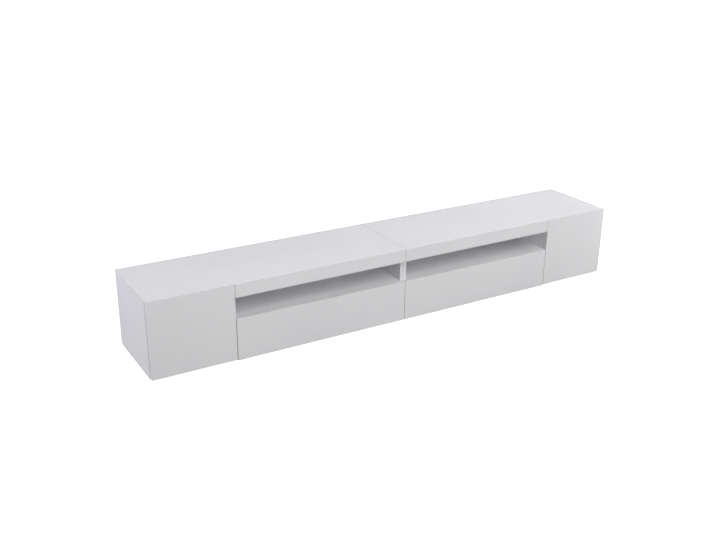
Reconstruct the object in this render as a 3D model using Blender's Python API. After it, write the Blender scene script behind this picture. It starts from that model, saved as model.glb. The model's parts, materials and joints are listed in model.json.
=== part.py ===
"""White TV lowboard: two mirrored cabinets joined end to end.

Each cabinet has a hinged door at its outer end, a fixed front rail over an open compartment,
and a drawer below. The fronts have no handles: push latches open them.

Metres, +Z up. The origin is on the floor under the middle of the lowboard, and the fronts face -Y.
Inside a cabinet, u runs from its outer end to the joint with its twin.
"""

import math

import bmesh
import bpy

# Overall size of one cabinet
CABINET_LENGTH = 1.200
DEPTH = 0.400
BODY_HEIGHT = 0.345

# Boards
PANEL = 0.015
FRONT = 0.016
BACK = 0.003
DRAWER_BOARD = 0.012
EDGE_RADIUS = 0.0005
THIN_EDGE_RADIUS = 0.0004
EDGE_STEPS = 2

# Gaps: FIT parts touching pieces, the reveals part the fronts, FRONT_GAP lets a front be pushed in
FIT = 0.0003
REVEAL = 0.003
FASCIA_REVEAL = 0.002
MIDDLE_REVEAL = 0.0022
FRONT_GAP = 0.0055
CABINET_JOINT = 0.002

# Layout of the fronts, as seen; doors and drawer fronts stand proud of the panel behind their top edge
DOOR_WIDTH = 0.371
DOOR_LIFT = 0.004
DRAWER_FRONT_HEIGHT = 0.191
FASCIA_HEIGHT = 0.060
FRONT_PROUD = 0.0014

# Back panel in its rebate, with a slot for cables
REBATE = 0.008
SLOT_LENGTH = 0.160
SLOT_HEIGHT = 0.040

# Glide strips under the carcass
GLIDE_HEIGHT = 0.004
GLIDE_WIDTH = 0.012
GLIDE_INSET = 0.020

# Cup hinges: the pin lies inside the door's thickness
HINGE_SETBACK = 0.075
PIN_INSET = 0.008
PIN_DEPTH = 0.009
PIN_RADIUS = 0.00125
CUP_RADIUS = 0.0175
CUP_TAB = 0.003
CUP_DEPTH = 0.013
CUP_WALL = 0.001
CUP_RIM = 0.0012
CUP_RIM_WIDTH = 0.0013
CUP_FLANGE_LENGTH = 0.052
CUP_FLANGE_WIDTH = 0.014
CUP_FLANGE = 0.0009
CHEEK_PLAY = 0.0005
EYE_WALL = 0.00105
ARM_THICKNESS = 0.0024
ARM_WIDTH = 0.009
ARM_STAND_OFF = 0.0042
ARM_LENGTH = 0.060
ARM_BODY_WIDTH = 0.013
ARM_CORNER = 0.0010
HINGE_PLATE = 0.0018
HINGE_PLATE_LENGTH = 0.036
HINGE_PLATE_WIDTH = 0.046
HINGE_PLATE_SETBACK = 0.008

# Push latches
LATCH_WIDTH = 0.014
LATCH_SETBACK = 0.002
LATCH_WALL = 0.002
LATCH_EAR = 0.0022
LATCH_EAR_WIDTH = 0.034
LATCH_EAR_LENGTH = 0.020
LATCH_EAR_SETBACK = 0.012
PLUNGER_RADIUS = 0.0035
PLUNGER_LENGTH = 0.046
PLUNGER_TRAVEL = 0.003
PLUNGER_TIP_RADIUS = 0.005
PLUNGER_TIP = 0.0016
PLUNGER_CHAMFER = 0.0006

# Drawer box on telescopic runners
DRAWER_SIDE_HEIGHT = 0.110
DRAWER_CLEARANCE = 0.028
DRAWER_RISE = 0.014
GROOVE_RISE = 0.010
GROOVE_DEPTH = 0.006
RUNNER_SPACE = 0.0127
RUNNER_HEIGHT = 0.035
RUNNER_SHEET = 0.0012
RUNNER_SETBACK = 0.002
RUNNER_RISE = 0.040
RUNNER_DEPTH = 0.009
RUNNER_LIP = 0.004
RUNNER_PLAY = 0.0004
RUNNER_HOOK = 0.003

# Bolts that join the cabinets
BOLT_RADIUS = 0.004
BOLT_HEAD_RADIUS = 0.0075
BOLT_HEAD = 0.0026
BOLT_HEAD_CHAMFER = 0.0008
BOLT_SPACING = 0.220
BOLT_DROP = 0.020

# Faceting of round pieces
CUP_SIDES = 40
PIN_SIDES = 20
ROUND_SIDES = 24
SLOT_END_STEPS = 8
EYE_STEPS = 14
SHARP_ANGLE = math.radians(35)

LEFT = -1
RIGHT = 1
NAMES = {LEFT: "left", RIGHT: "right"}

# Planes shared by both cabinets
FRONT_FACE = -DEPTH / 2
FRONT_REAR = FRONT_FACE + FRONT
CARCASS_FRONT = FRONT_REAR + FRONT_GAP
BACK_EDGE = DEPTH / 2
REBATE_FACE = BACK_EDGE - BACK - FIT
BASE = GLIDE_HEIGHT
TOP = BASE + BODY_HEIGHT
FLOOR_TOP = BASE + PANEL
CEILING = TOP - PANEL
DOOR_TOP = TOP + FRONT_PROUD
DRAWER_FRONT_TOP = BASE + DRAWER_FRONT_HEIGHT
SHELF = DRAWER_FRONT_TOP - FRONT_PROUD
SHELF_UNDER = SHELF - PANEL

# Places along a cabinet
INNER_END = CABINET_LENGTH - CABINET_JOINT / 2
INNER_FACE = INNER_END - PANEL
FRONT_END = CABINET_LENGTH - MIDDLE_REVEAL / 2
PARTITION_FACE = DOOR_WIDTH - PANEL
MIDDLE_CENTRE = (DOOR_WIDTH + INNER_FACE) / 2

# Drawer box
DRAWER_START = DOOR_WIDTH + RUNNER_SPACE
DRAWER_END = INNER_FACE - RUNNER_SPACE
DRAWER_FRONT_END = FRONT_REAR + FIT
DRAWER_BACK_END = REBATE_FACE - DRAWER_CLEARANCE
DRAWER_BASE = FLOOR_TOP + DRAWER_RISE
DRAWER_TOP = DRAWER_BASE + DRAWER_SIDE_HEIGHT
DRAWER_FLOOR = DRAWER_BASE + GROOVE_RISE
RUNNER_CENTRE = DRAWER_BASE + RUNNER_RISE

# Hinge, measured from its pin
PIN_Y = FRONT_REAR - PIN_DEPTH
CUP_CENTRE = CUP_TAB + CUP_RADIUS + FIT - PIN_INSET
CUP_INNER_RADIUS = CUP_RADIUS - CUP_WALL


def clear_scene():
    for obj in list(bpy.data.objects):
        bpy.data.objects.remove(obj, do_unlink=True)


def finish(name, colour, roughness, metallic=0.0):
    """A Principled BSDF material."""
    material = bpy.data.materials.new(name)
    material.use_nodes = True
    shader = material.node_tree.nodes["Principled BSDF"]
    shader.inputs["Base Color"].default_value = (*colour, 1.0)
    shader.inputs["Roughness"].default_value = roughness
    shader.inputs["Metallic"].default_value = metallic
    return material


def across(side, u):
    """World x of a place u along a cabinet."""
    return side * (CABINET_LENGTH - u)


def add_object(name, bm, side, origin, material, parent=None):
    """Make an object of a mesh drawn in (u, y, z) about origin, mirrored for the right cabinet."""
    for vertex in bm.verts:
        vertex.co.x *= -side
    if side == RIGHT:
        bmesh.ops.reverse_faces(bm, faces=bm.faces[:])
    mesh = bpy.data.meshes.new(name)
    bm.to_mesh(mesh)
    bm.free()
    mesh.shade_smooth()
    mesh.set_sharp_from_angle(angle=SHARP_ANGLE)
    obj = bpy.data.objects.new(name, mesh)
    obj.location = (across(side, origin[0]), origin[1], origin[2])
    if material:
        mesh.materials.append(material)
    if parent:
        obj.parent = parent
        obj.location -= parent.location
    bpy.context.scene.collection.objects.link(obj)
    return obj


def add_empty(name, side, origin):
    """A joint axis, or a frame that moving pieces hang on."""
    empty = bpy.data.objects.new(name, None)
    empty.location = (across(side, origin[0]), origin[1], origin[2])
    empty.empty_display_size = PANEL
    bpy.context.scene.collection.objects.link(empty)
    return empty


def as_tool(obj):
    """Mark an object as a cutter or an added form, which isn't a piece of its own."""
    obj.hide_render = True
    obj.display_type = "WIRE"
    return obj


def combine(target, tool, operation):
    modifier = target.modifiers.new(tool.name, "BOOLEAN")
    modifier.operation = operation
    modifier.solver = "EXACT"
    modifier.object = as_tool(tool)


def cut(target, tool):
    combine(target, tool, "DIFFERENCE")


def join(target, tool):
    combine(target, tool, "UNION")


def board(name, side, u, y, z, material=None, parent=None, edge=EDGE_RADIUS):
    """A board between pairs of limits, with its edges rounded."""
    spans = (u, y, z)
    centre = [(low + high) / 2 for low, high in spans]
    bm = bmesh.new()
    bmesh.ops.create_cube(bm, size=1.0)
    bmesh.ops.scale(bm, vec=[high - low for low, high in spans], verts=bm.verts[:])
    if edge:
        bmesh.ops.bevel(bm, geom=bm.edges[:], offset=edge, segments=EDGE_STEPS, profile=0.5, affect="EDGES")
    return add_object(name, bm, side, centre, material, parent)


def block(name, side, u, y, z):
    """A sharp-edged box to cut with."""
    return board(name, side, u, y, z, edge=0.0)


def around(centre, reach):
    """Limits that reach as far to both sides of a centre."""
    return (centre - reach, centre + reach)


def prism(name, side, outline, span, along, origin, material=None, parent=None):
    """Extrude a flat outline: in (u, y) along z, or in (u, z) along y."""
    bm = bmesh.new()
    if along == "z":
        corners = [bm.verts.new((a, b, span[0])) for a, b in outline]
        step = (0.0, 0.0, span[1] - span[0])
    else:
        corners = [bm.verts.new((a, span[0], b)) for a, b in outline]
        step = (0.0, span[1] - span[0], 0.0)
    face = bm.faces.new(corners)
    swept = bmesh.ops.extrude_face_region(bm, geom=[face])
    moved = [item for item in swept["geom"] if isinstance(item, bmesh.types.BMVert)]
    bmesh.ops.translate(bm, vec=step, verts=moved)
    bmesh.ops.recalc_face_normals(bm, faces=bm.faces[:])
    return add_object(name, bm, side, origin, material, parent)


def turned(name, side, profile, axis, sides, origin, material=None, parent=None):
    """Turn a profile of (distance along the axis, radius) pairs that starts and ends on the axis."""
    bm = bmesh.new()
    rings = []
    for along, radius in profile:
        count = sides if radius > 0 else 1
        ring = []
        for index in range(count):
            angle = 2 * math.pi * index / count
            a = radius * math.cos(angle)
            b = radius * math.sin(angle)
            place = {"u": (along, a, b), "y": (a, along, b), "z": (a, b, along)}[axis]
            ring.append(bm.verts.new(place))
        rings.append(ring)
    for ring, following in zip(rings, rings[1:]):
        for index in range(sides):
            ends = (ring[index % len(ring)], ring[(index + 1) % len(ring)])
            next_ends = (following[(index + 1) % len(following)], following[index % len(following)])
            corners = list(dict.fromkeys(ends + next_ends))
            bm.faces.new(corners)
    bmesh.ops.recalc_face_normals(bm, faces=bm.faces[:])
    return add_object(name, bm, side, origin, material, parent)


def rod(name, side, axis, span, radius, sides, origin, material=None, parent=None):
    """A plain round bar, with its origin on its axis."""
    low, high = span
    profile = [(low, 0.0), (low, radius), (high, radius), (high, 0.0)]
    return turned(name, side, profile, axis, sides, origin, material, parent)


def build_carcass(side, white, thin_white, dark):
    """Panels of one cabinet, with the back panel let into a rebate all round."""
    part = NAMES[side]
    depth = (CARCASS_FRONT, BACK_EDGE)
    inner_depth = (CARCASS_FRONT, REBATE_FACE)
    upright = (BASE, CEILING - FIT)
    middle = (DOOR_WIDTH + FIT, INNER_FACE - FIT)

    top = board(f"{part}_top_panel", side, (0.0, INNER_END), depth, (CEILING, TOP), white)
    floor = (PANEL + FIT, INNER_FACE - FIT)
    bottom = board(f"{part}_bottom_panel", side, floor, depth, (BASE, FLOOR_TOP), white)
    outer = board(f"{part}_outer_side", side, (0.0, PANEL), depth, upright, white)
    inner = board(f"{part}_inner_side", side, (INNER_FACE, INNER_END), depth, upright, white)

    rebate_u = (PANEL - REBATE, INNER_FACE + REBATE)
    rebate_z = (FLOOR_TOP - REBATE, CEILING + REBATE)
    rebate = block(f"{part}_back_rebate", side, rebate_u, (REBATE_FACE, BACK_EDGE + BACK), rebate_z)
    for panel in (top, bottom, outer, inner):
        cut(panel, rebate)

    standing = (FLOOR_TOP + FIT, CEILING - FIT)
    board(f"{part}_partition", side, (PARTITION_FACE, DOOR_WIDTH), inner_depth, standing, white)
    board(f"{part}_open_shelf", side, middle, inner_depth, (SHELF_UNDER, SHELF), white)

    back_u = (rebate_u[0] + FIT, rebate_u[1] - FIT)
    back_z = (rebate_z[0] + FIT, rebate_z[1] - FIT)
    back_y = (BACK_EDGE - BACK, BACK_EDGE)
    back = board(f"{part}_back_panel", side, back_u, back_y, back_z, thin_white, edge=THIN_EDGE_RADIUS)
    cut(back, cable_slot(f"{part}_cable_slot", side))

    fascia_u = (DOOR_WIDTH + FASCIA_REVEAL, FRONT_END)
    fascia_y = (FRONT_FACE, CARCASS_FRONT - FIT)
    board(f"{part}_fascia", side, fascia_u, fascia_y, (TOP - FASCIA_HEIGHT, TOP), white)

    glide_y = (CARCASS_FRONT + GLIDE_INSET, BACK_EDGE - GLIDE_INSET)
    under = {"outer": PANEL / 2, "middle": DOOR_WIDTH - PANEL / 2, "inner": INNER_END - PANEL / 2}
    for place, centre in under.items():
        strip = around(centre, GLIDE_WIDTH / 2)
        board(f"{part}_{place}_glide", side, strip, glide_y, (0.0, BASE - FIT), dark)
    return inner


def cable_slot(name, side):
    """Cutter with round ends for the slot behind the open compartment."""
    radius = SLOT_HEIGHT / 2
    straight = SLOT_LENGTH / 2 - radius
    outline = []
    for direction in (1, -1):
        for step in range(SLOT_END_STEPS + 1):
            angle = math.pi * step / SLOT_END_STEPS - direction * math.pi / 2
            reach = radius * math.cos(angle)
            outline.append((direction * straight + reach, radius * math.sin(angle)))
    centre = (MIDDLE_CENTRE, BACK_EDGE, (SHELF + CEILING) / 2)
    return prism(name, side, outline, (-2 * BACK, BACK), "y", centre)


def build_door(side, white, metal):
    """The door on its two cup hinges, which share one upright axis."""
    part = NAMES[side]
    bottom = BASE + DOOR_LIFT
    axis = add_empty(f"{part}_door_axis", side, (PIN_INSET, PIN_Y, BASE))
    leaf_y = (FRONT_FACE, FRONT_REAR)
    leaf = board(f"{part}_door", side, (0.0, DOOR_WIDTH), leaf_y, (bottom, DOOR_TOP), white, axis)
    for level, height in (("upper", TOP - HINGE_SETBACK), ("lower", bottom + HINGE_SETBACK)):
        pin = (PIN_INSET, PIN_Y, height)
        cup_at = (PIN_INSET + CUP_CENTRE, FRONT_REAR, height)
        bore_span = (-CUP_DEPTH - FIT, FRONT_GAP)
        cut(leaf, rod(f"{part}_{level}_cup_bore", side, "y", bore_span, CUP_RADIUS + FIT, CUP_SIDES, cup_at))
        build_cup(f"{part}_{level}_hinge_cup", side, pin, cup_at, metal, axis)
        build_arm(f"{part}_{level}_hinge_arm", side, pin, metal)


def build_cup(name, side, pin, cup_at, metal, axis):
    """A pressed cup with a rim, two screw wings, and two cheeks that hold the hinge pin."""
    rim_radius = CUP_RADIUS + CUP_RIM_WIDTH
    profile = [
        (-CUP_DEPTH, 0.0),
        (-CUP_DEPTH, CUP_RADIUS),
        (FIT, CUP_RADIUS),
        (FIT, rim_radius),
        (FIT + CUP_RIM, rim_radius),
        (FIT + CUP_RIM, CUP_INNER_RADIUS),
        (CUP_WALL - CUP_DEPTH, CUP_INNER_RADIUS),
        (CUP_WALL - CUP_DEPTH, 0.0),
    ]
    cup = turned(name, side, profile, "y", CUP_SIDES, cup_at, metal, axis)
    wing_u = around(cup_at[0], CUP_FLANGE_WIDTH / 2)
    wing_y = (cup_at[1] + FIT, cup_at[1] + FIT + CUP_FLANGE)
    for place, direction in (("top", 1), ("foot", -1)):
        reach = (direction * (CUP_RADIUS - CUP_WALL / 2), direction * CUP_FLANGE_LENGTH / 2)
        wing_z = (cup_at[2] + min(reach), cup_at[2] + max(reach))
        join(cup, board(f"{name}_{place}_wing", side, wing_u, wing_y, wing_z, edge=THIN_EDGE_RADIUS))
    cheek = PIN_RADIUS + EYE_WALL
    cheek_end = math.sqrt((CUP_RADIUS - CUP_WALL / 2) ** 2 - (CUP_CENTRE + cheek) ** 2)
    cheek_start = ARM_WIDTH / 2 + CHEEK_PLAY
    cheek_u = around(pin[0], cheek)
    cheek_y = (cup_at[1] - CUP_DEPTH + CUP_WALL / 2, pin[1] + cheek)
    for place, direction in (("top", 1), ("foot", -1)):
        reach = (direction * cheek_start, direction * cheek_end)
        cheek_z = (pin[2] + min(reach), pin[2] + max(reach))
        join(cup, board(f"{name}_{place}_cheek", side, cheek_u, cheek_y, cheek_z, edge=0.0))
    half_pin = (cheek_start + cheek_end) / 2
    join(cup, rod(f"{name}_pin", side, "z", around(0.0, half_pin), PIN_RADIUS, PIN_SIDES, pin))


def build_arm(name, side, pin, metal):
    """The arm: an eye round the pin, a neck out of the cup and a body on its mounting plate."""
    eye_radius = PIN_RADIUS + FIT + EYE_WALL
    half = ARM_THICKNESS / 2
    wall = PANEL + FIT - PIN_INSET
    neck = PANEL + ARM_STAND_OFF - PIN_INSET
    outside = neck + ARM_THICKNESS
    plate_start = FRONT_GAP + PIN_DEPTH + HINGE_PLATE_SETBACK
    spread = math.asin(half / eye_radius)
    outline = []
    for step in range(EYE_STEPS + 1):
        angle = spread + (2 * math.pi - 2 * spread) * step / EYE_STEPS
        outline.append((eye_radius * math.cos(angle), eye_radius * math.sin(angle)))
    outline += [
        (outside - ARM_CORNER, -half),
        (outside, -half + ARM_CORNER),
        (outside, ARM_LENGTH),
        (neck, ARM_LENGTH),
        (neck, half),
    ]
    arm = prism(name, side, outline, around(0.0, ARM_WIDTH / 2), "z", pin, metal)
    plate_u = (PIN_INSET + wall, PIN_INSET + wall + HINGE_PLATE)
    plate_y = (pin[1] + plate_start, pin[1] + plate_start + HINGE_PLATE_LENGTH)
    plate_z = around(pin[2], HINGE_PLATE_WIDTH / 2)
    join(arm, board(f"{name}_plate", side, plate_u, plate_y, plate_z, edge=THIN_EDGE_RADIUS))
    body_u = (PIN_INSET + wall + HINGE_PLATE / 2, PIN_INSET + outside - THIN_EDGE_RADIUS)
    body_y = (plate_y[0] + THIN_EDGE_RADIUS, plate_y[1] - THIN_EDGE_RADIUS)
    body_z = around(pin[2], ARM_BODY_WIDTH / 2)
    join(arm, board(f"{name}_body", side, body_u, body_y, body_z, edge=THIN_EDGE_RADIUS))
    eye_span = around(0.0, ARM_WIDTH)
    cut(arm, rod(f"{name}_eye", side, "z", eye_span, PIN_RADIUS + FIT, PIN_SIDES, pin))


def build_latch(part_name, side, axis_u, axis_z, ear_u, ear_z, shell, tip):
    """A push latch: a housing with a fixing ear, and the plunger that slides in it."""
    tip_y = FRONT_REAR + FIT
    start = CARCASS_FRONT + LATCH_SETBACK
    bore_end = tip_y + PLUNGER_LENGTH + PLUNGER_TRAVEL + FIT
    body_y = (start, bore_end + LATCH_WALL)
    body_u = around(axis_u, LATCH_WIDTH / 2)
    body_z = around(axis_z, LATCH_WIDTH / 2)
    housing = board(f"{part_name}_latch_housing", side, body_u, body_y, body_z, shell)
    ear_start = start + LATCH_EAR_SETBACK
    ear_y = (ear_start, ear_start + LATCH_EAR_LENGTH)
    ear = board(f"{part_name}_latch_ear", side, ear_u, ear_y, ear_z, edge=THIN_EDGE_RADIUS)
    join(housing, ear)
    on_axis = (axis_u, tip_y, axis_z)
    bore_span = (start - LATCH_WALL - tip_y, bore_end - tip_y)
    bore_radius = PLUNGER_RADIUS + FIT
    cut(housing, rod(f"{part_name}_latch_bore", side, "y", bore_span, bore_radius, ROUND_SIDES, on_axis))
    profile = [
        (0.0, 0.0),
        (0.0, PLUNGER_TIP_RADIUS - PLUNGER_CHAMFER),
        (PLUNGER_CHAMFER, PLUNGER_TIP_RADIUS),
        (PLUNGER_TIP, PLUNGER_TIP_RADIUS),
        (PLUNGER_TIP, PLUNGER_RADIUS),
        (PLUNGER_LENGTH - PLUNGER_CHAMFER, PLUNGER_RADIUS),
        (PLUNGER_LENGTH, PLUNGER_RADIUS - PLUNGER_CHAMFER),
        (PLUNGER_LENGTH, 0.0),
    ]
    turned(f"{part_name}_latch_plunger", side, profile, "y", ROUND_SIDES, on_axis, tip)


def build_latches(side, shell, tip):
    """One latch on the partition for the door, one under the shelf for the drawer."""
    part = NAMES[side]
    half = LATCH_WIDTH / 2
    seat_u = PARTITION_FACE - FIT
    door_u = seat_u - half
    door_z = (BASE + TOP) / 2
    door_ear_u = (seat_u - LATCH_EAR, seat_u)
    door_ear_z = around(door_z, LATCH_EAR_WIDTH / 2)
    build_latch(f"{part}_door", side, door_u, door_z, door_ear_u, door_ear_z, shell, tip)
    seat_z = SHELF_UNDER - FIT
    drawer_z = seat_z - half
    drawer_ear_u = around(MIDDLE_CENTRE, LATCH_EAR_WIDTH / 2)
    drawer_ear_z = (seat_z - LATCH_EAR, seat_z)
    build_latch(f"{part}_drawer", side, MIDDLE_CENTRE, drawer_z, drawer_ear_u, drawer_ear_z, shell, tip)


def build_drawer(side, white, box_white, thin_white, metal):
    """Drawer box with its bottom in grooves, its front, and its half of the runners."""
    part = NAMES[side]
    frame = add_empty(f"{part}_drawer_frame", side, (MIDDLE_CENTRE, FRONT_REAR, RUNNER_CENTRE))
    inside = (DRAWER_START + DRAWER_BOARD, DRAWER_END - DRAWER_BOARD)
    length = (DRAWER_FRONT_END, DRAWER_BACK_END)
    height = (DRAWER_BASE, DRAWER_TOP)
    front_u = (DOOR_WIDTH + REVEAL, FRONT_END)
    front_y = (FRONT_FACE, FRONT_REAR)
    front_z = (BASE, DRAWER_FRONT_TOP)
    front = board(f"{part}_drawer_front", side, front_u, front_y, front_z, white, frame)
    outer_u = (DRAWER_START, inside[0])
    inner_u = (inside[1], DRAWER_END)
    outer = board(f"{part}_drawer_outer_side", side, outer_u, length, height, box_white, frame)
    inner = board(f"{part}_drawer_inner_side", side, inner_u, length, height, box_white, frame)

    floor_u = (inside[0] - GROOVE_DEPTH, inside[1] + GROOVE_DEPTH)
    floor_y = (FRONT_REAR - GROOVE_DEPTH, DRAWER_BACK_END)
    floor_z = (DRAWER_FLOOR, DRAWER_FLOOR + BACK)
    name = f"{part}_drawer_bottom"
    board(name, side, floor_u, floor_y, floor_z, thin_white, frame, edge=THIN_EDGE_RADIUS)
    groove_u = (floor_u[0] - FIT, floor_u[1] + FIT)
    groove_y = (floor_y[0] - FIT, floor_y[1] + DRAWER_BOARD)
    groove_z = (floor_z[0] - FIT, floor_z[1] + FIT)
    groove = block(f"{part}_drawer_groove", side, groove_u, groove_y, groove_z)
    for panel in (front, outer, inner):
        cut(panel, groove)

    back_u = (inside[0] + FIT, inside[1] - FIT)
    back_y = (DRAWER_BACK_END - DRAWER_BOARD, DRAWER_BACK_END)
    back_z = (floor_z[1] + FIT, DRAWER_TOP)
    board(f"{part}_drawer_back", side, back_u, back_y, back_z, box_white, frame)

    for place, wall, inward in (("outer", DOOR_WIDTH, 1), ("inner", INNER_FACE, -1)):
        build_runner(f"{part}_{place}", side, wall, inward, metal, frame)


def build_runner(name, side, wall, inward, metal, frame):
    """A lipped rail on the cabinet's wall, and the rail on the drawer that hooks into it."""
    sheet = RUNNER_SHEET
    half = RUNNER_HEIGHT / 2
    lip_end = half - sheet - RUNNER_LIP
    lip = RUNNER_DEPTH - sheet
    fixed = [
        (FIT, -half),
        (FIT, half),
        (RUNNER_DEPTH, half),
        (RUNNER_DEPTH, lip_end),
        (lip, lip_end),
        (lip, half - sheet),
        (FIT + sheet, half - sheet),
        (FIT + sheet, sheet - half),
        (lip, sheet - half),
        (lip, -lip_end),
        (RUNNER_DEPTH, -lip_end),
        (RUNNER_DEPTH, -half),
    ]
    seat = RUNNER_SPACE - FIT
    flange = lip_end - RUNNER_PLAY
    hook_end = half - sheet - RUNNER_PLAY
    hook = RUNNER_HOOK + sheet
    moving = [
        (seat, -flange),
        (seat, flange),
        (hook, flange),
        (hook, hook_end),
        (RUNNER_HOOK, hook_end),
        (RUNNER_HOOK, flange - sheet),
        (seat - sheet, flange - sheet),
        (seat - sheet, sheet - flange),
        (RUNNER_HOOK, sheet - flange),
        (RUNNER_HOOK, -hook_end),
        (hook, -hook_end),
        (hook, -flange),
    ]
    fixed_y = (CARCASS_FRONT + RUNNER_SETBACK, DRAWER_BACK_END)
    moving_y = (DRAWER_FRONT_END + RUNNER_SETBACK, DRAWER_BACK_END)
    origin = (wall, 0.0, RUNNER_CENTRE)
    fixed_outline = [(inward * away, level) for away, level in fixed]
    moving_outline = [(inward * away, level) for away, level in moving]
    prism(f"{name}_cabinet_runner", side, fixed_outline, fixed_y, "y", origin, metal)
    prism(f"{name}_drawer_runner", side, moving_outline, moving_y, "y", origin, metal, frame)


def build_bolts(inner_sides, metal):
    """Two bolts with low heads that draw the inner sides of the cabinets together."""
    reach = CABINET_JOINT / 2 + PANEL + FIT
    height = SHELF_UNDER - BOLT_DROP
    for place, y in (("front", -BOLT_SPACING / 2), ("rear", BOLT_SPACING / 2)):
        origin = (CABINET_LENGTH, y, height)
        profile = [
            (-reach - BOLT_HEAD, 0.0),
            (-reach - BOLT_HEAD, BOLT_HEAD_RADIUS - BOLT_HEAD_CHAMFER),
            (-reach - BOLT_HEAD + BOLT_HEAD_CHAMFER, BOLT_HEAD_RADIUS),
            (-reach, BOLT_HEAD_RADIUS),
            (-reach, BOLT_RADIUS),
            (reach, BOLT_RADIUS),
            (reach, BOLT_HEAD_RADIUS),
            (reach + BOLT_HEAD - BOLT_HEAD_CHAMFER, BOLT_HEAD_RADIUS),
            (reach + BOLT_HEAD, BOLT_HEAD_RADIUS - BOLT_HEAD_CHAMFER),
            (reach + BOLT_HEAD, 0.0),
        ]
        turned(f"{place}_joining_bolt", LEFT, profile, "u", ROUND_SIDES, origin, metal)
        hole_span = around(0.0, reach + PANEL)
        hole = rod(f"{place}_bolt_hole", LEFT, "u", hole_span, BOLT_RADIUS + FIT, ROUND_SIDES, origin)
        for panel in inner_sides:
            cut(panel, hole)


def main():
    clear_scene()
    white = finish("white_lacquer", (0.80, 0.80, 0.81), 0.38)
    box_white = finish("white_drawer_board", (0.76, 0.76, 0.75), 0.50)
    thin_white = finish("white_hardboard", (0.72, 0.72, 0.71), 0.60)
    nickel = finish("nickel_plate", (0.66, 0.65, 0.62), 0.28, 1.0)
    zinc = finish("zinc_plate", (0.60, 0.61, 0.62), 0.36, 1.0)
    grey_plastic = finish("grey_plastic", (0.42, 0.42, 0.42), 0.50)
    pale_plastic = finish("pale_plastic", (0.70, 0.70, 0.69), 0.45)
    dark_plastic = finish("dark_plastic", (0.08, 0.08, 0.08), 0.60)
    inner_sides = []
    for side in (LEFT, RIGHT):
        inner_sides.append(build_carcass(side, white, thin_white, dark_plastic))
        build_door(side, white, nickel)
        build_drawer(side, white, box_white, thin_white, zinc)
        build_latches(side, grey_plastic, pale_plastic)
    build_bolts(inner_sides, nickel)


main()
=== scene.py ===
"""The white TV lowboard as photographed: finishes, small fittings, floor, light and camera."""

import json
import math

import bmesh
import bpy
from mathutils import Matrix, Vector

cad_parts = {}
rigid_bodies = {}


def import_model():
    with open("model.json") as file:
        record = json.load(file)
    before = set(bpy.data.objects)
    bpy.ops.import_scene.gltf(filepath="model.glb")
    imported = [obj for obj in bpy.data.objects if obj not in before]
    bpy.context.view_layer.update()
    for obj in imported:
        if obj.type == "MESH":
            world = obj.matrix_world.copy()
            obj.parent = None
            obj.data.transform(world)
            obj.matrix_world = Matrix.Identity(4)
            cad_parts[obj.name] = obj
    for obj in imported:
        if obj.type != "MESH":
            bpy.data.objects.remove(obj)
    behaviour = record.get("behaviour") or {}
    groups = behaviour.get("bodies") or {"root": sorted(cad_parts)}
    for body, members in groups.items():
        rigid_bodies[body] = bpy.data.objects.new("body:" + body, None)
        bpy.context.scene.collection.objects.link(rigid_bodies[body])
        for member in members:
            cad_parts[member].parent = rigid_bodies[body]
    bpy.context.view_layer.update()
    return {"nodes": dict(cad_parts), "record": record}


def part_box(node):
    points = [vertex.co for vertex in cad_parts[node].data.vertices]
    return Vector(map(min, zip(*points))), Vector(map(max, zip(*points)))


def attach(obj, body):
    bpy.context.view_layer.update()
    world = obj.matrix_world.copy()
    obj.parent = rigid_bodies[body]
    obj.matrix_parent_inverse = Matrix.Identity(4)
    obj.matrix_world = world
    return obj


# Camera, found from the photograph's edges
CAMERA_PLACE = (-2.164, -3.430, 1.808)
CAMERA_HEADING = math.radians(30.65)
CAMERA_PITCH = math.radians(21.90)
CAMERA_ROLL = math.radians(0.50)
FOCAL_PIXELS = 929.3
PHOTO_WIDTH = 716
SENSOR_WIDTH = 36.0
VIEW_REACH = 100.0

# Round hardware has facets flatter than FACET_ANGLE, and they are shaded as one curve
ROUND_SLOTS = ("nickel", "grey_plastic", "pale_plastic")
FACET_ANGLE = math.radians(20)
WELD_DISTANCE = 0.00001

# Surround of the studio: colour, strength under and over the horizon, and half the height of the change
STUDIO_WHITE = (0.985, 0.985, 1.0, 1.0)
GROUND_LIGHT = 0.08
SKY_LIGHT = 0.15
HORIZON = 0.05

# Soft boxes: name, place, target, width and height, watts, colour
WHITE = (1.0, 1.0, 1.0)
COOL_WHITE = (0.960, 0.950, 1.0)
SOFT_BOXES = (
    ("front_low_box", (-0.75, -4.2, 1.75), (-0.2, -0.2, 0.25), (2.8, 0.9), 69.0, WHITE),
    ("front_high_box", (0.1, -3.1, 3.0), (0.0, -0.2, 0.25), (3.0, 2.6), 69.5, WHITE),
    ("left_box", (-4.0, 0.35, 1.25), (-1.2, 0.0, 0.25), (0.9, 1.6), 68.0, COOL_WHITE),
    ("right_box", (2.0, -0.9, 0.6), (1.2, -0.2, 0.2), (0.4, 0.4), 4.5, WHITE),
    ("rear_box", (1.6, 2.8, 2.8), (0.8, 0.1, 0.25), (3.6, 1.5), 31.0, COOL_WHITE),
    ("back_box", (0.0, 4.2, 0.40), (0.0, 0.2, 0.20), (4.0, 0.4), 60.0, WHITE),
    ("right_side_box", (4.0, 0.35, 0.5), (1.2, 0.0, 0.2), (0.9, 0.6), 42.0, WHITE),
    ("top_box", (2.0, 0.6, 3.0), (1.7, 0.2, 0.3), (3.0, 2.0), 27.0, COOL_WHITE),
)

# Floor: how far it is level, the radius of its rise and the height of the backdrop, and its own glow
FLOOR_LEVEL = 9.0
FLOOR_RISE = 4.0
BACKDROP_HEIGHT = 16.0
SWEEP_STEPS = 12
SWEEP_SIDES = 72
PAPER_GLOW = 0.90

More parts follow.
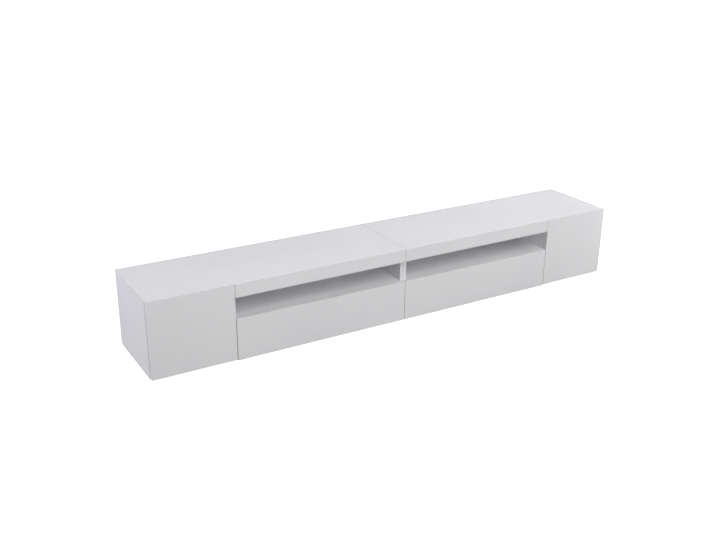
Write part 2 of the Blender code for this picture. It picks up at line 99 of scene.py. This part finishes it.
# Screw heads and caps: radius and height, and how far they are let into what carries them
CUP_SCREW = (0.0031, 0.0010)
PLATE_SCREW = (0.0036, 0.0015)
ADJUSTER = (0.0028, 0.0008)
LATCH_SCREW = (0.0030, 0.0013)
RUNNER_SCREW = (0.0038, 0.0012)
CAM_CAP = (0.0085, 0.0011)
SEAT = 0.00005
HEAD_SIDES = 28
CAP_SIDES = 40
RIM_ANGLE = math.radians(32)

# Sheet and ear thicknesses of the hardware that the screws hold
WING_STEP = 0.0003
PLATE_FACE = 0.0021
LATCH_EAR = 0.0022
RUNNER_SHEET = 0.0012

# Places of the screws and caps on that hardware and on the walls
WING_SCREW_INSET = 0.0037
PLATE_SCREW_SPREAD = 0.0152
PLATE_SCREW_SETBACK = 0.018
REAR_ADJUSTER_SETBACK = 0.0080
FRONT_ADJUSTER_SETBACK = 0.0270
LATCH_SCREW_SETBACK = 0.022
LATCH_SCREW_INSET = 0.005
RUNNER_SCREW_INSET = 0.040
CAP_DROP = 0.034
FRONT_CAP = -0.090
REAR_CAP = 0.140


def clear_scene():
    for obj in list(bpy.data.objects):
        bpy.data.objects.remove(obj, do_unlink=True)


class Finish:
    """A Principled material whose colour, gloss and fine relief come from noise in the row's frame."""

    def __init__(self, name, metallic=0.0, specular=0.5):
        self.material = bpy.data.materials.new(name)
        self.material.use_nodes = True
        self.tree = self.material.node_tree
        self.shader = self.tree.nodes["Principled BSDF"]
        self.shader.inputs["Metallic"].default_value = metallic
        self.shader.inputs["Specular IOR Level"].default_value = specular
        self.place = self.tree.nodes.new("ShaderNodeTexCoord").outputs["Object"]
        self.normal = None

    def link(self, start, end):
        self.tree.links.new(start, end)

    def noise(self, scale, detail=2.0, stretch=(1.0, 1.0, 1.0), roughness=0.5):
        """Noise with so many features in a metre, drawn out along the axes with a small stretch."""
        mapping = self.tree.nodes.new("ShaderNodeMapping")
        mapping.inputs["Scale"].default_value = stretch
        self.link(self.place, mapping.inputs["Vector"])
        node = self.tree.nodes.new("ShaderNodeTexNoise")
        node.inputs["Scale"].default_value = scale
        node.inputs["Detail"].default_value = detail
        node.inputs["Roughness"].default_value = roughness
        self.link(mapping.outputs["Vector"], node.inputs["Vector"])
        return node.outputs["Fac"]

    def colour(self, field, dark, light, low=0.35, high=0.65):
        ramp = self.tree.nodes.new("ShaderNodeValToRGB")
        ramp.color_ramp.elements[0].position = low
        ramp.color_ramp.elements[0].color = (*dark, 1.0)
        ramp.color_ramp.elements[1].position = high
        ramp.color_ramp.elements[1].color = (*light, 1.0)
        self.link(field, ramp.inputs["Fac"])
        self.link(ramp.outputs["Color"], self.shader.inputs["Base Color"])

    def gloss(self, field, smooth, rough, low=0.3, high=0.7):
        span = self.tree.nodes.new("ShaderNodeMapRange")
        span.inputs["From Min"].default_value = low
        span.inputs["From Max"].default_value = high
        span.inputs["To Min"].default_value = smooth
        span.inputs["To Max"].default_value = rough
        self.link(field, span.inputs["Value"])
        self.link(span.outputs["Result"], self.shader.inputs["Roughness"])

    def relief(self, field, height, strength):
        bump = self.tree.nodes.new("ShaderNodeBump")
        bump.inputs["Distance"].default_value = height
        bump.inputs["Strength"].default_value = strength
        self.link(field, bump.inputs["Height"])
        if self.normal:
            self.link(self.normal, bump.inputs["Normal"])
        self.normal = bump.outputs["Normal"]
        self.link(self.normal, self.shader.inputs["Normal"])


def make_finishes():
    """One material for each slot of the record."""
    lacquer = Finish("white_lacquer", specular=0.22)
    lacquer.colour(lacquer.noise(2.6, detail=3.0), (0.832, 0.832, 0.848), (0.858, 0.858, 0.872))
    lacquer.gloss(lacquer.noise(22.0, detail=4.0), 0.50, 0.62)
    lacquer.relief(lacquer.noise(420.0), 0.00002, 0.35)
    lacquer.relief(lacquer.noise(9.0), 0.00025, 0.10)

    foil = Finish("white_drawer_foil")
    foil.colour(foil.noise(5.0, detail=4.0), (0.640, 0.638, 0.632), (0.690, 0.688, 0.680))
    foil.gloss(foil.noise(35.0, detail=4.0), 0.46, 0.60)
    foil.relief(foil.noise(900.0, detail=3.0), 0.00003, 0.5)

    hardboard = Finish("white_hardboard")
    fibres = hardboard.noise(14.0, detail=6.0, roughness=0.65)
    hardboard.colour(fibres, (0.720, 0.717, 0.708), (0.770, 0.767, 0.757))
    hardboard.gloss(hardboard.noise(60.0, detail=4.0), 0.52, 0.70)
    hardboard.relief(hardboard.noise(700.0, detail=5.0, roughness=0.7), 0.00006, 0.6)

    nickel = Finish("nickel_plate", metallic=1.0)
    nickel.colour(nickel.noise(90.0, detail=3.0), (0.62, 0.60, 0.56), (0.68, 0.66, 0.62))
    nickel.gloss(nickel.noise(180.0), 0.25, 0.32)
    nickel.relief(nickel.noise(1400.0), 0.00001, 0.25)

    zinc = Finish("zinc_plate", metallic=1.0)
    streaks = zinc.noise(60.0, detail=5.0, stretch=(1.0, 0.12, 1.0))
    zinc.colour(streaks, (0.50, 0.51, 0.53), (0.66, 0.67, 0.68))
    zinc.gloss(zinc.noise(180.0, detail=4.0, stretch=(1.0, 0.08, 1.0)), 0.26, 0.42)
    zinc.relief(zinc.noise(900.0, detail=3.0, stretch=(1.0, 0.05, 1.0)), 0.00002, 0.5)

    grey = Finish("grey_plastic")
    grey.colour(grey.noise(80.0, detail=4.0), (0.32, 0.32, 0.325), (0.40, 0.40, 0.405))
    grey.gloss(grey.noise(300.0), 0.42, 0.56)
    grey.relief(grey.noise(2200.0), 0.00003, 0.5)

    pale = Finish("pale_plastic")
    pale.colour(pale.noise(90.0, detail=3.0), (0.60, 0.60, 0.59), (0.70, 0.70, 0.69))
    pale.gloss(pale.noise(300.0), 0.34, 0.48)
    pale.relief(pale.noise(1800.0), 0.00002, 0.4)

    dark = Finish("dark_plastic")
    dark.colour(dark.noise(70.0, detail=4.0), (0.030, 0.030, 0.031), (0.060, 0.060, 0.062))
    dark.gloss(dark.noise(240.0), 0.50, 0.66)
    dark.relief(dark.noise(1600.0, detail=3.0), 0.00004, 0.6)

    return {
        "white_board": lacquer.material,
        "drawer_board": foil.material,
        "hardboard": hardboard.material,
        "nickel": nickel.material,
        "zinc": zinc.material,
        "grey_plastic": grey.material,
        "pale_plastic": pale.material,
        "dark_plastic": dark.material,
    }


def curve_shading():
    """Modifier nodes that shade the facets of round hardware as curves and leave its edges sharp."""
    group = bpy.data.node_groups.new("curve_shading", "GeometryNodeTree")
    group.interface.new_socket("Geometry", in_out="INPUT", socket_type="NodeSocketGeometry")
    group.interface.new_socket("Geometry", in_out="OUTPUT", socket_type="NodeSocketGeometry")
    nodes = group.nodes
    start = nodes.new("NodeGroupInput")
    weld = nodes.new("GeometryNodeMergeByDistance")
    weld.inputs["Distance"].default_value = WELD_DISTANCE
    angle = nodes.new("GeometryNodeInputMeshEdgeAngle")
    compare = nodes.new("FunctionNodeCompare")
    compare.data_type = "FLOAT"
    compare.operation = "GREATER_THAN"
    compare.inputs["B"].default_value = FACET_ANGLE
    shade = nodes.new("GeometryNodeSetMeshNormal")
    shade.mode = "SHARPNESS"
    shade.inputs["Remove Custom"].default_value = True
    shade.inputs["Face Sharpness"].default_value = False
    end = nodes.new("NodeGroupOutput")
    group.links.new(start.outputs["Geometry"], weld.inputs["Geometry"])
    group.links.new(weld.outputs["Geometry"], shade.inputs["Mesh"])
    group.links.new(angle.outputs["Unsigned Angle"], compare.inputs["A"])
    group.links.new(compare.outputs["Result"], shade.inputs["Edge Sharpness"])
    group.links.new(shade.outputs["Mesh"], end.inputs["Geometry"])
    return group


def dress_nodes(frame, finishes):
    """Give each CAD node its finish, and round hardware its curved shading."""
    slots = {entry["node"]: entry["material_slot"] for entry in frame["record"]["subparts"]}
    shading = curve_shading()
    for name, obj in frame["nodes"].items():
        obj.material_slots[0].material = finishes[slots[name]]
        if slots[name] in ROUND_SLOTS:
            obj.modifiers.new("curve_shading", "NODES").node_group = shading


def lathe(profile, sides):
    """A closed turned body about +Z from (radius, height) pairs that start and end on the axis."""
    bm = bmesh.new()
    rings = []
    for radius, height in profile:
        count = sides if radius else 1
        turns = [2 * math.pi * step / count for step in range(count)]
        rings.append([bm.verts.new((radius * math.cos(t), radius * math.sin(t), height)) for t in turns])
    for ring, following in zip(rings, rings[1:]):
        for step in range(sides):
            corners = (
                ring[step % len(ring)],
                ring[(step + 1) % len(ring)],
                following[(step + 1) % len(following)],
                following[step % len(following)],
            )
            bm.faces.new(list(dict.fromkeys(corners)))
    bmesh.ops.recalc_face_normals(bm, faces=bm.faces[:])
    mesh = bpy.data.meshes.new("turned")
    bm.to_mesh(mesh)
    bm.free()
    return mesh


def slots_cut(mesh, arms, width, reach, floor, top):
    """Cut one slot, or two crossed ones, into the top of a head."""
    bm = bmesh.new()
    for arm in range(arms):
        made = bmesh.ops.create_cube(bm, size=1.0)
        bmesh.ops.scale(bm, vec=(2 * reach, width, top - floor), verts=made["verts"])
        bmesh.ops.translate(bm, vec=(0.0, 0.0, (top + floor) / 2), verts=made["verts"])
        turn = Matrix.Rotation(arm * math.pi / 2, 3, "Z")
        bmesh.ops.rotate(bm, cent=(0.0, 0.0, 0.0), matrix=turn, verts=made["verts"])
    cutter_mesh = bpy.data.meshes.new("slots")
    bm.to_mesh(cutter_mesh)
    bm.free()
    head = bpy.data.objects.new("head", mesh)
    cutter = bpy.data.objects.new("slots", cutter_mesh)
    for obj in (head, cutter):
        bpy.context.scene.collection.objects.link(obj)
    boolean = head.modifiers.new("slots", "BOOLEAN")
    boolean.operation = "DIFFERENCE"
    boolean.solver = "EXACT"
    boolean.use_self = True
    boolean.object = cutter
    graph = bpy.context.evaluated_depsgraph_get()
    result = bpy.data.meshes.new_from_object(head.evaluated_get(graph))
    for obj in (head, cutter):
        bpy.data.objects.remove(obj, do_unlink=True)
    return result


def screw_head(size, arms=2):
    """A low domed head with a cross recess, or with one slot right across."""
    radius, height = size
    profile = [
        (0.0, -SEAT),
        (radius, -SEAT),
        (radius, 0.35 * height),
        (0.93 * radius, 0.66 * height),
        (0.72 * radius, 0.88 * height),
        (0.42 * radius, 0.98 * height),
        (0.0, height),
    ]
    reach = 0.56 * radius if arms == 2 else 1.1 * radius
    head = lathe(profile, HEAD_SIDES)
    return slots_cut(head, arms, 0.24 * radius, reach, 0.30 * height, 1.5 * height)


def cam_cap(size):
    """A thin cover cap with a soft rim and a shallow dish."""
    radius, height = size
    profile = [
        (0.0, -SEAT),
        (radius, -SEAT),
        (radius, 0.40 * height),
        (0.965 * radius, 0.80 * height),
        (0.90 * radius, height),
        (0.78 * radius, height),
        (0.70 * radius, 0.82 * height),
        (0.0, 0.74 * height),
    ]
    return lathe(profile, CAP_SIDES)


def add_fittings(name, template, places, body, slot, finishes):
    """Copies of one fitting as one piece on a body.

    Each place is a point, the direction that the fitting faces there and its turn in radians. The turns
    differ only so that no two slots line up.
    """
    bm = bmesh.new()
    for place, facing, turn in places:
        aim = Vector(facing).to_track_quat("Z", "Y").to_matrix().to_4x4()
        spin = Matrix.Rotation(turn, 4, "Z")
        before = len(bm.verts)
        bm.from_mesh(template)
        bm.verts.ensure_lookup_table()
        bmesh.ops.transform(bm, matrix=Matrix.Translation(place) @ aim @ spin, verts=bm.verts[before:])
    mesh = bpy.data.meshes.new(name)
    bm.to_mesh(mesh)
    bm.free()
    mesh.materials.clear()
    mesh.materials.append(finishes[slot])
    mesh.shade_smooth()
    mesh.set_sharp_from_angle(angle=RIM_ANGLE)
    piece = bpy.data.objects.new(name, mesh)
    bpy.context.scene.collection.objects.link(piece)
    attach(piece, body)


def middle(node):
    low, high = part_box(node)
    return (Vector(low) + Vector(high)) / 2


def dress_hinges(part, side, finishes):
    """Screws on the cups' wings, on the mounting plates, and the two adjusters of each arm."""
    cup_screw = screw_head(CUP_SCREW)
    plate_screw = screw_head(PLATE_SCREW)
    adjuster = screw_head(ADJUSTER, arms=1)
    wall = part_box(f"{part}_outer_side")
    inside = wall[1][0] if side < 0 else wall[0][0]
    inward = (-side, 0.0, 0.0)
    for level, turn in (("upper", 0.4), ("lower", 1.1)):
        cup = f"{part}_{level}_hinge_cup"
        low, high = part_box(cup)
        centre = middle(cup)
        places = []
        for reach, spin in ((low[2] + WING_SCREW_INSET, turn), (high[2] - WING_SCREW_INSET, turn + 0.5)):
            places.append(((centre.x, high[1] - WING_STEP, reach), (0.0, 1.0, 0.0), spin))
        add_fittings(f"{cup}_screws", cup_screw, places, f"{part}_door_unit", "nickel", finishes)

        arm = f"{part}_{level}_hinge_arm"
        low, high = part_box(arm)
        centre = middle(arm)
        places = []
        for reach, spin in ((-PLATE_SCREW_SPREAD, turn + 0.2), (PLATE_SCREW_SPREAD, turn + 0.9)):
            place = (inside - side * PLATE_FACE, high[1] - PLATE_SCREW_SETBACK, centre.z + reach)
            places.append((place, inward, spin))
        add_fittings(f"{arm}_screws", plate_screw, places, "carcass", "zinc", finishes)

        face = high[0] if side < 0 else low[0]
        places = []
        for back, spin in ((REAR_ADJUSTER_SETBACK, turn), (FRONT_ADJUSTER_SETBACK, turn + 0.7)):
            places.append(((face, high[1] - back, centre.z), inward, spin))
        add_fittings(f"{arm}_adjusters", adjuster, places, "carcass", "zinc", finishes)


def dress_latches(part, side, finishes):
    """Screws through the ears of both push latches."""
    screw = screw_head(LATCH_SCREW)
    node = f"{part}_door_latch_housing"
    low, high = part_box(node)
    face = high[0] - LATCH_EAR if side < 0 else low[0] + LATCH_EAR
    along = low[1] + LATCH_SCREW_SETBACK
    places = [
        ((face, along, low[2] + LATCH_SCREW_INSET), (side, 0.0, 0.0), 0.3),
        ((face, along, high[2] - LATCH_SCREW_INSET), (side, 0.0, 0.0), 0.9),
    ]
    add_fittings(f"{node}_screws", screw, places, "carcass", "zinc", finishes)

    node = f"{part}_drawer_latch_housing"
    low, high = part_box(node)
    face = high[2] - LATCH_EAR
    along = low[1] + LATCH_SCREW_SETBACK
    places = [
        ((low[0] + LATCH_SCREW_INSET, along, face), (0.0, 0.0, -1.0), 0.6),
        ((high[0] - LATCH_SCREW_INSET, along, face), (0.0, 0.0, -1.0), 1.2),
    ]
    add_fittings(f"{node}_screws", screw, places, "carcass", "zinc", finishes)


def dress_runners(part, finishes):
    """Three screws in the channel of each rail on the drawer."""
    screw = screw_head(RUNNER_SCREW)
    drawer = middle(f"{part}_drawer_bottom")
    for place in ("outer", "inner"):
        node = f"{part}_{place}_drawer_runner"
        low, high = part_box(node)
        centre = middle(node)
        away = 1.0 if centre.x > drawer.x else -1.0
        seat = low[0] if away > 0 else high[0]
        face = seat + away * RUNNER_SHEET
        length = (low[1] + RUNNER_SCREW_INSET, centre.y, high[1] - RUNNER_SCREW_INSET)
        places = []
        for index, along in enumerate(length):
            places.append(((face, along, centre.z), (away, 0.0, 0.0), 0.5 + 0.8 * index))
        add_fittings(f"{node}_screws", screw, places, f"{part}_drawer_unit", "zinc", finishes)


def dress_compartment(part, side, finishes):
    """Cover caps over the cam fittings under the top, on both walls behind the door."""
    cap = cam_cap(CAM_CAP)
    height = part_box(f"{part}_top_panel")[0][2] - CAP_DROP
    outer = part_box(f"{part}_outer_side")
    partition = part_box(f"{part}_partition")
    outer_face = outer[1][0] if side < 0 else outer[0][0]
    inner_face = partition[0][0] if side < 0 else partition[1][0]
    places = []
    for along in (FRONT_CAP, REAR_CAP):
        places.append(((outer_face, along, height), (-side, 0.0, 0.0), 0.0))
        places.append(((inner_face, along, height), (side, 0.0, 0.0), 0.0))
    add_fittings(f"{part}_cam_caps", cap, places, "carcass", "pale_plastic", finishes)


def add_hardware(finishes):
    for part, side in (("left", -1), ("right", 1)):
        dress_hinges(part, side, finishes)
        dress_latches(part, side, finishes)
        dress_runners(part, finishes)
        dress_compartment(part, side, finishes)


def add_camera():
    """The photograph's camera: heading to the right of +Y, pitch down, and a slight roll."""
    level = math.cos(CAMERA_PITCH)
    ahead = Vector((
        math.sin(CAMERA_HEADING) * level,
        math.cos(CAMERA_HEADING) * level,
        -math.sin(CAMERA_PITCH),
    ))
    flat_right = Vector((math.cos(CAMERA_HEADING), -math.sin(CAMERA_HEADING), 0.0))
    flat_up = flat_right.cross(ahead)
    right = flat_right * math.cos(CAMERA_ROLL) + flat_up * math.sin(CAMERA_ROLL)
    up = flat_up * math.cos(CAMERA_ROLL) - flat_right * math.sin(CAMERA_ROLL)
    data = bpy.data.cameras.new("photo_camera")
    data.sensor_fit = "HORIZONTAL"
    data.sensor_width = SENSOR_WIDTH
    data.lens = FOCAL_PIXELS * SENSOR_WIDTH / PHOTO_WIDTH
    data.clip_end = VIEW_REACH
    camera = bpy.data.objects.new("photo_camera", data)
    turn = Matrix((right, up, -ahead)).transposed()
    camera.matrix_world = Matrix.Translation(CAMERA_PLACE) @ turn.to_4x4()
    bpy.context.scene.collection.objects.link(camera)
    bpy.context.scene.camera = camera


def floor_mesh():
    """A level disc that curves up into a backdrop on all sides."""
    profile = [(0.0, 0.0), (FLOOR_LEVEL, 0.0)]
    for step in range(1, SWEEP_STEPS + 1):
        angle = 0.5 * math.pi * step / SWEEP_STEPS
        out = FLOOR_LEVEL + FLOOR_RISE * math.sin(angle)
        profile.append((out, FLOOR_RISE * (1.0 - math.cos(angle))))
    profile.append((FLOOR_LEVEL + FLOOR_RISE, BACKDROP_HEIGHT))
    bm = bmesh.new()
    points = [bm.verts.new((out, 0.0, up)) for out, up in profile]
    edges = [bm.edges.new(pair) for pair in zip(points, points[1:])]
    bmesh.ops.spin(
        bm,
        geom=points + edges,
        cent=(0.0, 0.0, 0.0),
        axis=(0.0, 0.0, 1.0),
        angle=2 * math.pi,
        steps=SWEEP_SIDES,
    )
    bmesh.ops.remove_doubles(bm, verts=bm.verts[:], dist=WELD_DISTANCE)
    bmesh.ops.recalc_face_normals(bm, faces=bm.faces[:])
    mesh = bpy.data.meshes.new("floor")
    bm.to_mesh(mesh)
    bm.free()
    mesh.shade_smooth()
    return mesh


def add_floor():
    """A pale floor like studio paper, which casts no light or shade on the lowboard."""
    paper = Finish("studio_paper", specular=0.0)
    paper.colour(paper.noise(0.6), (0.930, 0.930, 0.932), (0.945, 0.945, 0.947))
    paper.gloss(paper.noise(4.0), 0.90, 1.0)
    paper.shader.inputs["Emission Color"].default_value = (*WHITE, 1.0)
    paper.shader.inputs["Emission Strength"].default_value = PAPER_GLOW
    mesh = floor_mesh()
    mesh.materials.append(paper.material)
    floor = bpy.data.objects.new("floor", mesh)
    floor.visible_diffuse = False
    floor.visible_glossy = False
    floor.visible_shadow = False
    bpy.context.scene.collection.objects.link(floor)


def add_light(name, place, target, size, watts, colour):
    data = bpy.data.lights.new(name, "AREA")
    data.shape = "RECTANGLE"
    data.size = size[0]
    data.size_y = size[1]
    data.energy = watts
    data.color = colour
    light = bpy.data.objects.new(name, data)
    light.location = place
    light.rotation_euler = (Vector(target) - Vector(place)).to_track_quat("-Z", "Y").to_euler()
    light.visible_camera = False
    bpy.context.scene.collection.objects.link(light)


def add_studio():
    """A weak surround over a dark ground, and the soft boxes."""
    world = bpy.data.worlds.new("studio")
    world.use_nodes = True
    tree = world.node_tree
    direction = tree.nodes.new("ShaderNodeTexCoord")
    parts = tree.nodes.new("ShaderNodeSeparateXYZ")
    ramp = tree.nodes.new("ShaderNodeMapRange")
    ramp.inputs["From Min"].default_value = -HORIZON
    ramp.inputs["From Max"].default_value = HORIZON
    ramp.inputs["To Min"].default_value = GROUND_LIGHT
    ramp.inputs["To Max"].default_value = SKY_LIGHT
    surround = tree.nodes["Background"]
    surround.inputs["Color"].default_value = STUDIO_WHITE
    tree.links.new(direction.outputs["Generated"], parts.inputs["Vector"])
    tree.links.new(parts.outputs["Z"], ramp.inputs["Value"])
    tree.links.new(ramp.outputs["Result"], surround.inputs["Strength"])
    scene = bpy.context.scene
    scene.world = world
    scene.view_settings.view_transform = "Standard"
    scene.view_settings.look = "None"
    for soft_box in SOFT_BOXES:
        add_light(*soft_box)


clear_scene()
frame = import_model()
finishes = make_finishes()
dress_nodes(frame, finishes)
add_hardware(finishes)
add_camera()
add_floor()
add_studio()
